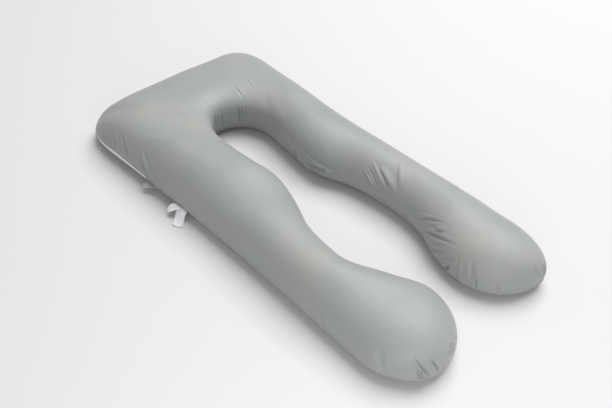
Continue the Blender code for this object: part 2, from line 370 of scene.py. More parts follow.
def toward(azimuth, elevation):
    """A direction: its angle clockwise from +Y, seen from above, and its angle over the horizon."""
    level = math.cos(elevation)
    return Vector((math.sin(azimuth) * level, math.cos(azimuth) * level, math.sin(elevation)))


def lengths(line):
    """How far along a line each of its points lies."""
    return np.concatenate([[0], np.cumsum(np.linalg.norm(np.diff(line, axis=0), axis=1))])


def read_smooth(values, at, closed=False):
    """Rows of values read at fractional places, on a smooth curve through them all."""
    count = len(values)
    low = np.clip(np.floor(at).astype(int), 0, count - 1 if closed else count - 2)
    t = (at - low).reshape(-1, *[1] * (values.ndim - 1))
    around = [(low + k) % count if closed else np.clip(low + k, 0, count - 1) for k in range(-1, 3)]
    before, start, end, after = (values[places] for places in around)
    bend = 2 * before - 5 * start + 4 * end - after
    twist = 3 * (start - end) + after - before
    return start + t / 2 * (end - before + t * (bend + t * twist))


def graded(length, fine, wide, reach):
    """Places from 0 to a length, close together near both ends and further apart between them."""
    spots = [0.0]
    while spots[-1] < length / 2:
        spots.append(spots[-1] + fine + (wide - fine) * min(spots[-1] / reach, 1))
    half = np.array(spots) * length / 2 / spots[-1]
    return np.concatenate([half, length - half[-2::-1]])


def add_object(name, data):
    obj = bpy.data.objects.new(name, data)
    bpy.context.scene.collection.objects.link(obj)
    return obj


def add_mesh(name, spots, faces, flat_places=None):
    """A smooth mesh. Its map gives each corner's place on the flat cloth, in metres."""
    data = bpy.data.meshes.new(name)
    data.from_pydata(np.asarray(spots).tolist(), [], faces)
    if flat_places is not None:
        layer = data.uv_layers.new(name="cloth")
        layer.data.foreach_set("uv", np.asarray(flat_places, dtype=np.float32).ravel())
    data.shade_smooth()
    return add_object(name, data)


def read_vectors(mesh, name):
    found = np.empty(len(mesh.vertices) * 3)
    mesh.vertices.foreach_get(name, found)
    return found.reshape(-1, 3)


def put_places(mesh, spots):
    mesh.vertices.foreach_set("co", np.ascontiguousarray(spots, dtype=np.float32).ravel())
    mesh.update()


def applied(obj):
    """Puts the object's mesh with its modifiers applied in place of the one it had."""
    graph = bpy.context.evaluated_depsgraph_get()
    made = bpy.data.meshes.new_from_object(obj.evaluated_get(graph))
    obj.modifiers.clear()
    old, obj.data = obj.data, made
    bpy.data.meshes.remove(old)


def cells(rows, columns):
    """The corners of each cell of a grid: a row and a column for each, in order round the cell."""
    i, j = np.indices((rows, columns)).reshape(2, -1)
    return np.stack([i, i, i + 1, i + 1], axis=1), np.stack([j, j + 1, j + 1, j], axis=1)


# ---- the cover's shape

def smooth_column(column, along):
    """A column of the table of sections, read at many places on a smooth curve."""
    places = np.array([row.along for row in SECTIONS])
    values = np.array([getattr(row, column) for row in SECTIONS])
    slopes = np.zeros(len(places))
    slopes[1:-1] = (values[2:] - values[:-2]) / (places[2:] - places[:-2])
    row = np.clip(np.searchsorted(places, along, side="right") - 1, 0, len(places) - 2)
    step = places[row + 1] - places[row]
    t = (along - places[row]) / step
    return (
        (2 * t**3 - 3 * t**2 + 1) * values[row]
        + (t**3 - 2 * t**2 + t) * step * slopes[row]
        + (3 * t**2 - 2 * t**3) * values[row + 1]
        + (t**3 - t**2) * step * slopes[row + 1]
    )


def outline(leg, gap_column, crown_column):
    """One half of the cover, densely sampled from the middle of the head to the tip of the foot: a
    row for each slice, with its outer seam, its inner seam, its crown, its roundness, how far it
    has the neck's higher inner seam, and its rise."""
    t = np.linspace(0, 1, DENSE, endpoint=False)
    ones = np.ones(DENSE)

    def neck(angle):
        return leg.neck * np.sin(angle), NECK_CENTRE + (NECK_END - NECK_CENTRE) * np.cos(angle)

    def roundness(stretches):
        softness = np.exp(-(((stretches - SOFTEST_CORNER) / SOFT_REACH) ** 2))
        above = ROUND_ABOVE + (leg.corner_round - ROUND_ABOVE) * softness
        return above, np.exp(-((stretches / NECK_REACH) ** NECK_FALL))

    corner_start = HALF_WIDTH - leg.corner_across
    corner_end = leg.head_edge - leg.corner_along
    ease = (1 - np.cos(np.pi * t)) / 2
    head = (
        t * corner_start,
        HEAD_MIDDLE + (leg.head_edge - HEAD_MIDDLE) * ease,
        *neck(t * np.pi / 4),
        HEAD_CROWN + (CORNER_CROWN - HEAD_CROWN) * ease,
        *roundness(t),
        ones,
    )
    corner = (
        corner_start + leg.corner_across * np.sin(np.pi / 2 * t) ** leg.corner_curve,
        corner_end + leg.corner_along * np.cos(np.pi / 2 * t) ** leg.corner_curve,
        *neck((1 + t) * np.pi / 4),
        CORNER_CROWN * ones,
        *roundness(1 + t),
        ones,
    )
    foot_along = SECTIONS[0].along
    inner_along = NECK_CENTRE + (foot_along - NECK_CENTRE) * t
    straight = (
        HALF_WIDTH - leg.draw_in * np.sin(np.pi * t) - leg.foot_in * t**3,
        corner_end + (foot_along - corner_end) * t,
        smooth_column(gap_column, inner_along),
        inner_along,
        smooth_column(crown_column, inner_along),
        *roundness(2 + t),
        ones,
    )
    shrink = np.clip(np.cos(np.pi / 2 * np.linspace(0, 1, DENSE)), 1e-6, 1)
    last_outer = HALF_WIDTH - leg.foot_in
    last_inner = getattr(SECTIONS[0], gap_column)
    tip_along = foot_along * (1 - np.sqrt(1 - shrink**2))
    foot = (
        leg.tip_across + (last_outer - leg.tip_across) * shrink,
        tip_along,
        leg.tip_across + (last_inner - leg.tip_across) * shrink,
        tip_along,
        getattr(SECTIONS[0], crown_column) * ones,
        *(share * ones for share in roundness(3)),
        shrink**FOOT_TAPER,
    )
    rows = np.concatenate([np.stack(stretch, axis=1) for stretch in (head, corner, straight, foot)])
    rows[:, [0, 2]] *= leg.side
    return rows


def slice_points(rows, turns):
    """Points round each slice: turn 0 is its outer seam, pi / 2 its crown and pi its inner seam."""
    cosine, sine = np.cos(turns), np.sin(turns)
    outer, inner = rows[:, None, 0:2], rows[:, None, 2:4]
    crown, roundness, neck, rise = (rows[:, column, None] for column in (4, 5, 6, 7))
    neck = np.where(cosine < 0, neck, 0)
    seam = SEAM_HEIGHT + (NECK_SEAM_HEIGHT - SEAM_HEIGHT) * neck
    inner_roundness = ROUND_ABOVE + (NECK_ROUND_ABOVE - ROUND_ABOVE) * neck
    roundness = np.where(cosine < 0, inner_roundness, roundness)
    round_below = ROUND_BELOW + (NECK_ROUND_BELOW - ROUND_BELOW) * neck
    power = 2 / np.where(sine >= 0, roundness, round_below)
    spread = np.copysign(np.abs(cosine) ** power, cosine)
    swelling = np.abs(sine) ** power
    above = (crown - seam) * swelling
    below = np.maximum(-BELLY_BELOW * seam * swelling, -seam)
    height = seam + np.where(sine >= 0, above, below) * rise
    flat = (outer + inner) / 2 + (outer - inner) / 2 * spread[:, :, None]
    return np.concatenate([flat, height[:, :, None]], axis=2) + CENTRE


def typical_panels():
    """The turns over the top panel and under the other one of a typical slice, and how far round it
    each of them lies."""
    typical = np.array([[0.135, 0, -0.135, 0, CORNER_CROWN, ROUND_ABOVE, 0, 1]])
    for ends in ((0, np.pi), (np.pi, 2 * np.pi)):
        turns = np.linspace(*ends, PANEL_SAMPLES)
        yield turns, lengths(slice_points(typical, turns)[0])


def even_turns():
    """Turns that lie evenly round a typical slice, with the seams among them."""
    even = []
    for (turns, length), count in zip(typical_panels(), (TOP_COLUMNS, UNDER_COLUMNS)):
        even.append(np.interp(np.linspace(0, length[-1], count, endpoint=False), length, turns))
    return np.concatenate(even)


def stations(rows):
    """How far each slice lies from the middle of the head, along the crown and the outer seam."""
    lines = (slice_points(rows, np.array([turn]))[:, 0] for turn in (np.pi / 2, 0.0))
    return sum(map(lengths, lines)) / 2


HALVES = {
    "zip": outline(ZIP_LEG, "zip_leg", "zip_crown"),
    "plain": outline(PLAIN_LEG, "plain_leg", "plain_crown"),
}
HALF_LENGTHS = {name: stations(rows)[-1] for name, rows in HALVES.items()}


def first_grid():
    """The cover's slices from the tip of one foot, round the head, to the tip of the other. Each
    tip is a slice that has shrunk to a point."""
    turns = even_turns()
    halves = []
    for name, rows in HALVES.items():
        along = stations(rows)
        at = np.linspace(0, HALF_LENGTHS[name], STATIONS + 1)
        picked = np.stack([np.interp(at, along, column) for column in rows.T], axis=1)
        halves.append(slice_points(picked, turns))
    return np.concatenate([halves[0][::-1], halves[1][1:]])


def closed_cover(name, grid, flat_across=None, flat_along=None):
    """A closed mesh over the grid, whose first and last slices are points."""
    inner = grid[1:-1]
    count, around = inner.shape[:2]
    row, column = cells(count - 1, around)
    faces = (row * around + column % around).tolist()
    spots = np.concatenate([inner.reshape(-1, 3), grid[:1, 0], grid[-1:, 0]])
    map_rows, map_columns = [row + 1], [column]
    j = np.arange(around)
    for edge, tip, corners in (
        (0, count * around, (j + 1, j)),
        (count - 1, count * around + 1, (j, j + 1)),
    ):
        fan = [edge * around + corner % around for corner in corners] + [np.full(around, tip)]
        faces += np.stack(fan, axis=1).tolist()
        tip_row = 0 if edge == 0 else count + 1
        map_rows.append(np.tile([edge + 1, edge + 1, tip_row], (around, 1)))
        map_columns.append(np.stack([*corners, j], axis=1))
    if flat_across is None:
        return add_mesh(name, spots, faces)
    row, column = (
        np.concatenate([part.ravel() for part in parts]) for parts in (map_rows, map_columns)
    )
    return add_mesh(name, spots, faces, np.stack([flat_across[column], flat_along[row]], axis=1))


def grid_of(grid, values):
    """The values of a closed cover's vertices, put back on its grid."""
    made = np.empty_like(grid)
    made[1:-1] = values[:-2].reshape(grid[1:-1].shape)
    made[[0, -1]] = values[-2:, None]
    return made


# ---- swelling

def nearest_on(line, spots):
    """For each spot, the number of the nearest point of a line, and how far away it is."""
    tree = KDTree(len(line))
    for i, spot in enumerate(line):
        tree.insert(spot, i)
    tree.balance()
    found = [tree.find(spot)[1:] for spot in spots]
    return np.array([index for index, _ in found]), np.array([distance for _, distance in found])


def signed_along(at):
    """How far along the cover slices of the first grid lie: the leg with the zip is below 0."""
    share = at / STATIONS - 1
    return share * np.where(share < 0, HALF_LENGTHS["zip"], HALF_LENGTHS["plain"])


def add_weights(obj, name, weights):
    group = obj.vertex_groups.new(name=name)
    for step in range(1, WEIGHT_STEPS + 1):
        members = np.flatnonzero(np.round(weights * WEIGHT_STEPS) == step)
        group.add(members.tolist(), step / WEIGHT_STEPS, "REPLACE")
    return group.name


def most_swell(grid):
    """How far each vertex of the swelling cover may move."""
    along = signed_along(np.arange(len(grid)))
    calm = np.zeros(len(grid))
    for start, end in CALM_STRETCHES:
        calm += fade(np.maximum(0, np.maximum(start - along, along - end)), CALM_EDGE)
    share = (1 - calm * (1 - CALM_SWELL)) * MOST_SWELL
    return np.append(np.repeat(share[1:-1], grid.shape[1]), share[[0, -1]])


def evened(moved):
    """A grid's movement evened out between neighbours, which takes out its finest ripples."""
    for _ in range(EVENING_PASSES):
        moved = (np.roll(moved, 1, axis=1) + 2 * moved + np.roll(moved, -1, axis=1)) / 4
        moved[1:-1] = (moved[:-2] + 2 * moved[1:-1] + moved[2:]) / 4
    return moved


def swell(grid):
    """The filling blows up the cloth, which is a little too long and is held at its seam."""
    obj = closed_cover("swelling", grid)
    rest = read_vectors(obj.data, "co")
    seam = np.concatenate([grid[:, 0], grid[:, TOP_COLUMNS]])
    held = fade(nearest_on(seam, rest)[1], SEAM_HOLD)
    start = rest - read_vectors(obj.data, "normal") * (START_INSET * (1 - held))[:, None]
    start[:, 2] = np.maximum(start[:, 2], 0)
    put_places(obj.data, start)
    cloth = obj.modifiers.new("swell", "CLOTH")
    for name, setting in CLOTH.items():
        setattr(cloth.settings, name, setting)
    cloth.settings.effector_weights.gravity = 0
    cloth.settings.vertex_group_mass = add_weights(obj, "held", held)
    cloth.point_cache.frame_start, cloth.point_cache.frame_end = 1, SWELL_FRAMES
    for frame_number in range(1, SWELL_FRAMES + 1):
        bpy.context.scene.frame_set(frame_number)
    applied(obj)
    bpy.context.scene.frame_set(1)
    moved = read_vectors(obj.data, "co") - rest
    reach = np.linalg.norm(moved, axis=1)
    spots = rest + moved * np.minimum(1, most_swell(grid) / np.maximum(reach, 1e-9))[:, None]
    spots[:, 2] = np.maximum(spots[:, 2], 0)
    swollen = grid + evened(grid_of(grid, spots) - grid)
    bpy.data.objects.remove(obj)
    return swollen


# ---- the finished cover

class Cover:
    """The finished cover's grid, with the seam, the gathers and the creases worked into it."""

    def __init__(self, swollen):
        top, under = (length[-1] for _, length in typical_panels())
        over_top = graded(top, SEAM_STEP, WIDE_STEP, WIDE_FROM)
        over_under = graded(under, SEAM_STEP, WIDE_STEP, WIDE_FROM)
        self.inner_seam = len(over_top) - 1
        self.across = np.concatenate([over_top, top + over_under[1:]])
        index = np.concatenate([
            over_top[:-1] / top * TOP_COLUMNS,
            TOP_COLUMNS + over_under[:-1] / under * UNDER_COLUMNS,
        ])
        slices = round(sum(HALF_LENGTHS.values()) / FINE_STEP)
        at = np.linspace(0, len(swollen) - 1, slices + 1)
        rows = read_smooth(swollen, at)
        self.grid = read_smooth(rows.transpose(1, 0, 2), index, closed=True).transpose(1, 0, 2)
        self.grid[[0, -1]] = self.grid[[0, -1]].mean(axis=1, keepdims=True)
        self.along = signed_along(at)
        self.turns = np.interp(index, np.arange(TOP_COLUMNS + UNDER_COLUMNS), even_turns())
        self.obj = closed_cover("cover", self.grid, self.across, self.along)
        self.read_back()

    def read_back(self):
        self.grid = grid_of(self.grid, read_vectors(self.obj.data, "co"))
        self.normals = grid_of(self.grid, read_vectors(self.obj.data, "normal"))

    def place(self, station, turn):
        """Where a place lies, given the distance along the cover and the turn round the slice."""
        row = np.interp(station, self.along, np.arange(len(self.along)))
        column = np.interp(np.radians(turn), self.turns, np.arange(len(self.turns)))
        i = np.minimum(np.floor(row).astype(int), self.grid.shape[0] - 2)
        j = np.minimum(np.floor(column).astype(int), self.grid.shape[1] - 2)
        s, t = (row - i)[..., None], (column - j)[..., None]
        near = self.grid[i, j] * (1 - t) + self.grid[i, j + 1] * t
        far = self.grid[i + 1, j] * (1 - t) + self.grid[i + 1, j + 1] * t
        return near * (1 - s) + far * s

    def seam_line(self):
        """The seam as one closed line: the outer seam from tip to tip, and the inner one back."""
        return np.concatenate([self.grid[:, 0], self.grid[-2:0:-1, self.inner_seam]])

    def zip_rows(self):
        """The slices whose outer seam holds the zip."""
        y = self.grid[:, 0, 1] - CENTRE[1]
        return np.flatnonzero((self.along < 0) & (y > ZIP_LEG_END) & (y < ZIP_HEAD_END))

    def beside_seam(self, rows, away):
        """Places at distances from the outer seam on some slices, up the top panel or, below 0,
        down the other one, and the way out of the cloth at each."""
        steps = np.arange(-SEAM_NEIGHBOURS, SEAM_NEIGHBOURS + 1)
        found = []
        for row, away_here in zip(rows, np.broadcast_to(away, (len(rows), np.shape(away)[-1]))):
            line, ways = self.grid[row, steps], self.normals[row, steps]
            length = lengths(line)
            length -= length[SEAM_NEIGHBOURS]
            columns = np.concatenate([line, ways], axis=1).T
            found.append([np.interp(away_here, length, column) for column in columns])
        found = np.array(found).transpose(0, 2, 1)
        return found[..., :3], unit(found[..., 3:])


def fold_shape(off):
    """The height at distances from a crease's middle, in widths. It has a shoulder beside it."""
    return np.exp(-(off**2)) - CREASE_SHOULDER * np.exp(-((np.abs(off) - 2) ** 2))


def zip_share(line):
    """1 at points of the seam's line that lie along the zip, and 0 a little way past its ends."""
    y = line[:, 1] - CENTRE[1]
    past = np.maximum(ZIP_LEG_END - y, y - ZIP_HEAD_END)
    on_zip_side = line[:, 0] < CENTRE[0] - ZIP_LEG.neck
    outer = np.arange(len(line)) < len(line) / 2
    return np.where(on_zip_side & outer, fade(np.maximum(past, 0), ZIP_END_REACH), 0)


def shown_tape(spots):
    """How much of the upper tape shows at places along the zip."""
    share = (spots[:, 1] - CENTRE[1] - ZIP_LEG_END) / (ZIP_HEAD_END - ZIP_LEG_END)
    return TAPE_ABOVE + TAPE_GAPE * np.sin(np.pi * np.clip(share, 0, 1)) ** 2


def zip_lift(away, shown):
    """The cover sinks under the zip's tapes, between two folded hems."""
    past = away - shown
    sunk = fade(past + TAPE_THICKNESS, 2 * TAPE_THICKNESS)
    hem = np.exp(-((2 * past / HEM_WIDTH - 1) ** 2))
    return HEM_LIFT * hem - TAPE_SINK * sunk


def seam_lift(cover, spots):
    """The seam's groove, and its gathers: deepest where it curves most, and none along the zip."""
    line = cover.seam_line()
    index, away = nearest_on(line, spots)
    length = lengths(np.concatenate([line, line[:1]]))
    place = length[index]
    span = round(CURVE_SPAN / FINE_STEP)
    ahead, behind = (np.roll(line, step, axis=0)[:, :2] - line[:, :2] for step in (-span, span))
    bend = np.linalg.norm(unit(ahead) + unit(behind), axis=1) / CURVE_SPAN
    tight = np.clip(bend / TIGHT_CURVE, 0, 1)
    lift = -SEAM_DEPTH * np.exp(-((away / SEAM_WIDTH) ** 2))
    draw = np.random.default_rng(GATHER_SEED)
    at = 0.0
    while at < length[-2]:
        strength = tight[np.searchsorted(length[:-1], at)]
        depth = GATHER_DEPTH * strength * draw.uniform(*GATHER_SHARE)
        reach, width = draw.uniform(*GATHER_REACH), draw.uniform(*GATHER_WIDTH)
        slant = draw.uniform(-GATHER_SLANT, GATHER_SLANT)
        offset = (place - at - slant * away) / (width * (1 + away / reach))
        near = np.flatnonzero((np.abs(offset) < CREASE_MARGIN) & (away < reach))
        eased = fade(away[near], reach) * (1 - GATHER_EASE * fade(away[near], GATHER_START))
        lift[near] -= depth * fold_shape(offset[near]) * eased
        at += draw.uniform(*GATHER_STEP)
    along_zip = zip_share(line)[index]
    column = np.append(np.tile(np.arange(cover.grid.shape[1]), cover.grid.shape[0] - 2), [0, 0])
    shown = np.where(column <= cover.inner_seam, shown_tape(line)[index], TAPE_BELOW)
    return lift * (1 - along_zip) + zip_lift(away, shown) * along_zip


def crease_lift(cover, spots, normals):
    """How far all the creases move the cloth outward."""
    lift = np.zeros(len(spots))
    t = np.linspace(0, 1, CREASE_SAMPLES)
    for row in CREASES:
        crease = Crease(*np.multiply(row, CREASE_UNITS))
        station = crease.start + (crease.end - crease.start) * t + crease.bow * 4 * t * (1 - t)
        turn = crease.start_turn + (crease.end_turn - crease.start_turn) * t
        path = cover.place(station, turn)
        margin = CREASE_MARGIN * crease.width
        inside = (spots > path.min(axis=0) - margin) & (spots < path.max(axis=0) + margin)
        near = np.flatnonzero(inside.all(axis=1))
        away = spots[near, None] - path[None]
        nearest = (away**2).sum(axis=2).argmin(axis=1)
        away = away[np.arange(len(near)), nearest]
        along = unit(np.gradient(path, axis=0))[nearest]
        side = np.sign((np.cross(normals[near], along) * away).sum(axis=1))
        strength = np.ones(CREASE_SAMPLES)
        for end_turn, past in ((crease.start_turn, t), (crease.end_turn, 1 - t)):
            if abs((end_turn + 90) % 180 - 90) > AT_SEAM:
                strength *= 1 - fade(past, CREASE_END)
        width = crease.width * (CREASE_TAPER + (1 - CREASE_TAPER) * strength[nearest])
        off = np.linalg.norm(away, axis=1) / (width * (1 + crease.lean * side))
        lift[near] += crease.height * fold_shape(off) * strength[nearest]
    return lift


def shaped_cover(swollen):
    cover = Cover(swollen)
    spots, normals = read_vectors(cover.obj.data, "co"), read_vectors(cover.obj.data, "normal")
    lift = seam_lift(cover, spots) + crease_lift(cover, spots, normals)
    spots = spots + normals * lift[:, None]
    spots[:, 2] = np.maximum(spots[:, 2], 0)
    put_places(cover.obj.data, spots)
    cover.read_back()
    return cover


# ---- nodes

def arithmetic(operation):
    """A method that adds a Math node."""
    return lambda value, other: value.nodes.math(operation, value, other)


class Value:
    """What comes out of a node. Arithmetic on it adds Math nodes to the same tree."""

    def __init__(self, nodes, socket):
        self.nodes, self.socket = nodes, socket

    def beside(self, output):
        """Another output of the same node."""
        return Value(self.nodes, self.socket.node.outputs[output])

    __add__ = __radd__ = arithmetic("ADD")
    __mul__ = __rmul__ = arithmetic("MULTIPLY")
    __sub__ = arithmetic("SUBTRACT")
    __mod__ = arithmetic("FLOORED_MODULO")


class Nodes:
    """Adds nodes to a tree: each node's settings first, and then what goes into its inputs."""

    def __init__(self, tree):
        self.tree = tree

    def add(self, kind, inputs=None, output=0, **settings):
        node = self.tree.nodes.new(kind)
        for name, setting in settings.items():
            setattr(node, name, setting)
        for name, value in (inputs or {}).items():
            if isinstance(value, Value):
                self.tree.links.new(value.socket, node.inputs[name])
            else:
                node.inputs[name].default_value = value
        return Value(self, node.outputs[output]) if node.outputs else None

    def math(self, operation, *values):
        return self.add("ShaderNodeMath", dict(enumerate(values)), operation=operation)

    def noise(self, place, scale, detail=2.0):
        """A value round 0, mostly between -0.2 and 0.2."""
        inputs = {"Vector": place, "Scale": scale, "Detail": detail}
        return self.add("ShaderNodeTexNoise", inputs) - 0.5

    def stretched(self, place, scale):
        return self.add("ShaderNodeMapping", {"Vector": place, "Scale": scale})

    def body(self):
        """The place in the object's own space, in metres."""
        return self.add("ShaderNodeTexCoord", output="Object")

    def mixed(self, share, first, second):
        """A colour between two. The node's sockets for colours are its seventh and eighth."""
        inputs = {0: share, 6: (*first, 1), 7: (*second, 1)}
        return self.add("ShaderNodeMix", inputs, output=2, data_type="RGBA")

    def flat(self):
        """The place on the flat cloth, in metres: across it, and along it."""
        place = self.add("ShaderNodeUVMap", uv_map="cloth")
        across = self.add("ShaderNodeSeparateXYZ", {"Vector": place})
        return place, across, across.beside("Y")

    def wave(self, place, pitch):
        """From -1 to 1 and back over each pitch."""
        return self.math("SINE", place * (TURN / pitch))

    def bump(self, height):
        """A bump whose height is in metres."""
        return self.add("ShaderNodeBump", {"Distance": 1.0, "Height": height})


def finish(name, make):
    """A material, from a function that adds its nodes and gives the surface's inputs."""
    material = bpy.data.materials.new(name)
    material.use_nodes = True
    material.node_tree.nodes.clear()
    nodes = Nodes(material.node_tree)
    surface = nodes.add("ShaderNodeBsdfPrincipled", make(nodes))
    nodes.add("ShaderNodeOutputMaterial", {"Surface": surface})
    return material


def cover_cloth(nodes, dark=COVER_DARK, pale=COVER_PALE):
    """Brushed satin weave: a soft sheen, slow changes of tone and a faint crumple."""
    place, across, along = nodes.flat()
    tone = nodes.noise(nodes.body(), COVER_TONE_SCALE) * COVER_TONE
    threads = nodes.wave(across, THREAD_PITCH) * nodes.wave(along, THREAD_PITCH)
    slubs = nodes.noise(nodes.stretched(place, SLUB_SCALE), 1.0)
    crumple = nodes.noise(nodes.body(), CRUMPLE_SCALE, 3.0)
    shade = 0.5 + tone + slubs * COVER_SLUB + threads * COVER_THREAD
    return {
        "Base Color": nodes.mixed(shade, dark, pale),
        "Roughness": COVER_ROUGHNESS + (tone + slubs) * COVER_GLOSS,
        "Sheen Weight": COVER_SHEEN,
        "Normal": nodes.bump(threads * THREAD_HEIGHT + crumple * CRUMPLE_HEIGHT),
    }


def flap_cloth_painted_light(nodes):
    """The cover's cloth, with painted light on the flap: a paler copy of its colours, where the flap
    lies in the pillow's shadow.
    """
    return cover_cloth(nodes, FLAP_PAINTED_LIGHT_DARK, FLAP_PAINTED_LIGHT_PALE)


def tape_cloth(nodes):
    """The zip's tape: a close herringbone."""
    place, across, along = nodes.flat()
    zigzag = nodes.math("ABSOLUTE", nodes.wave(across, TAPE_ZIGZAG)) * TAPE_RIB
    ribs = nodes.wave(along + zigzag, TAPE_RIB)
    wear = nodes.noise(nodes.stretched(place, TAPE_WEAR_SCALE), 1.0)
    return {
        "Base Color": nodes.mixed(0.5 + ribs * TAPE_RIB_TONE + wear, TAPE_DARK, TAPE_PALE),
        "Roughness": TAPE_ROUGHNESS + wear * TAPE_WEAR_GLOSS,
        "Normal": nodes.bump(ribs * THREAD_HEIGHT),
    }


def label_satin(nodes):
    """White satin ribbon with fine ribs across it."""
    place, _, along = nodes.flat()
    ribs = nodes.wave(along, LABEL_RIB)
    shade = nodes.noise(nodes.stretched(place, LABEL_SHADE_SCALE), 1.0)
    return {
        "Base Color": nodes.mixed(0.5 + ribs * LABEL_RIB_TONE + shade, LABEL_DARK, LABEL_PALE),
        "Roughness": LABEL_ROUGHNESS + shade * LABEL_SHADE_GLOSS,
        "Sheen Weight": LABEL_SHEEN,
        "Normal": nodes.bump((ribs + shade) * LABEL_RIB_HEIGHT),
    }


def speckled(look):
    """A plain finish whose tone and roughness vary a little from place to place."""

    def make(nodes):
        cast = nodes.noise(nodes.body(), look.scale)
        return {
            "Base Color": nodes.mixed(0.5 + cast * look.tone, look.dark, look.pale),
            "Roughness": look.roughness + cast * look.gloss,
        }

    return make


# ---- cloth strips

def slab(name, spots, thickness, material):
    """A closed strip of cloth over a grid of places, thinner at its edges."""
    rows, columns = spots.shape[:2]
    ways = unit(np.cross(np.gradient(spots, axis=0), np.gradient(spots, axis=1)))
    half = np.full((rows, columns, 1), thickness / 2)
    half[[0, -1]] *= SLAB_EDGE
    half[:, [0, -1]] *= SLAB_EDGE
    row, column = cells(rows - 1, columns - 1)
    face, count = row * columns + column, rows * columns
    ring = np.arange(count).reshape(rows, columns)
    edge = np.concatenate([ring[0], ring[1:, -1], ring[-1, -2::-1], ring[-2:0:-1, 0]])
    following = np.roll(edge, -1)
    wall = np.stack([edge, count + edge, count + following, following], axis=1)
    faces = np.concatenate([face, count + face[:, ::-1], wall])
    across, along = lengths(spots[rows // 2]), lengths(spots[:, columns // 2])
    flat = np.tile(np.stack(np.meshgrid(across, along), axis=2).reshape(-1, 2), (2, 1))
    both = np.stack([spots + ways * half, spots - ways * half]).reshape(-1, 3)
    obj = add_mesh(name, both, faces.tolist(), flat[faces.ravel()])
    shell = bmesh.new()
    shell.from_mesh(obj.data)
    bmesh.ops.recalc_face_normals(shell, faces=shell.faces)
    shell.to_mesh(obj.data)
    shell.free()
    obj.data.materials.append(material)
    return obj


def zip_strip(cover, name, start, end, lift, material):
    """A strip along the whole zip, between two distances from the seam."""
    rows = cover.zip_rows()
    end = np.broadcast_to(end, len(rows))[:, None]
    spots, ways = cover.beside_seam(rows, start + (end - start) * np.linspace(0, 1, STRIP_COLUMNS))
    return slab(name, spots + ways * lift, TAPE_THICKNESS, material)


def sewn_in(cloth):
    """The places and flat size of cloth that is sewn into the outer seam and lies over a row of
    folds. Its long edges curl up or down, and it ripples more towards its free end."""
    straight = HALVES["zip"][2 * DENSE : 3 * DENSE]
    folds = np.multiply(cloth.folds, FOLD_UNITS)
    reach = folds[0, 3] / 2
    head_end, feet_end = (
        np.array((np.interp(-y, -straight[:, 1], straight[:, 0]), y, 0)) + CENTRE
        for y in (cloth.along + reach, cloth.along - reach)
    )
    seam_way = unit(feet_end - head_end)
    out_way = np.cross(seam_way, (0, 0, 1))
    at = np.linspace(0, len(folds) - 1, FOLD_ROWS)
    out, along_seam, height, width, turn = read_smooth(folds, at).T[:, :, None]
    middle = (head_end + feet_end) / 2 + out_way * (FOLD_GAP + out) - seam_way * along_seam
    middle[:, 2] = height[:, 0]
    turn = np.radians(turn)
    half = (seam_way * np.cos(turn) - out_way * np.sin(turn)) * width / 2
    up = unit(np.cross(np.gradient(middle, axis=0), half))
    side = np.linspace(-1, 1, FOLD_COLUMNS)[None, :, None]
    free = (at / at[-1])[:, None, None]
    wave = np.sin(TURN * (free * cloth.ripples + side * cloth.slant)) * cloth.ripple_height * free
    cup = cloth.curl * width[:, None] * (side**2 - 0.5) * free
    spots = middle[:, None] + half[:, None] * side + up[:, None] * (wave + cup)
    spots[:, :, 2] = np.maximum(spots[:, :, 2], cloth.thickness / 2)
    length = lengths(middle)
    flat = float(width.max()), float(length[-1])
    area = float((np.diff(length) * (width[1:, 0] + width[:-1, 0]) / 2).sum())
    return spots, flat, area


# ---- threads and teeth

def bars_tree():
    """Geometry Nodes: rounded bars along a line at an even pitch, each facing out of the cloth and
    shifted to one side and to the other in turn."""
    tree = bpy.data.node_groups.new("bars along a line", "GeometryNodeTree")
    sockets = (
        ("Line", "NodeSocketGeometry"), ("Pitch", "NodeSocketFloat"), ("Size", "NodeSocketVector"),
        ("Shift", "NodeSocketFloat"), ("Material", "NodeSocketMaterial"),
    )
    for name, kind in sockets:
        tree.interface.new_socket(name, in_out="INPUT", socket_type=kind)
    tree.interface.new_socket("Bars", in_out="OUTPUT", socket_type="NodeSocketGeometry")
    nodes = Nodes(tree)
    given = nodes.add("NodeGroupInput")
    line, pitch, size, shift, material = (given.beside(name) for name, _ in sockets)
    curve = nodes.add("GeometryNodeMeshToCurve", {"Mesh": line})
    even = nodes.add("GeometryNodeResampleCurve", {"Curve": curve, "Length": pitch}, mode="LENGTH")
    tangent = nodes.add("GeometryNodeInputTangent")
    named = {"Name": "outward"}
    outward = nodes.add("GeometryNodeInputNamedAttribute", named, data_type="FLOAT_VECTOR")
    turned = nodes.add("FunctionNodeAlignRotationToVector", {"Vector": tangent}, axis="X")
    turned = nodes.add(
        "FunctionNodeAlignRotationToVector",
        {"Rotation": turned, "Vector": outward},
        axis="Z",
        pivot_axis="X",
    )
    ball = {"Segments": BAR_SEGMENTS, "Rings": BAR_RINGS, "Radius": 0.5}
    bar = nodes.add("GeometryNodeMeshUVSphere", ball)
    each = {"Points": even, "Instance": bar, "Rotation": turned, "Scale": size}
    bars = nodes.add("GeometryNodeInstanceOnPoints", each)
    index = nodes.add("GeometryNodeInputIndex")
    side = (index % 2 * 2 - 1) * shift
    step = nodes.add("ShaderNodeCombineXYZ", {"Y": side})
    bars = nodes.add("GeometryNodeTranslateInstances", {"Instances": bars, "Translation": step})
    bars = nodes.add("GeometryNodeRealizeInstances", {"Geometry": bars})
    bars = nodes.add("GeometryNodeSetShadeSmooth", {"Geometry": bars})
    bars = nodes.add("GeometryNodeSetMaterial", {"Geometry": bars, "Material": material})
    nodes.add("NodeGroupOutput", {"Bars": bars})
    return tree


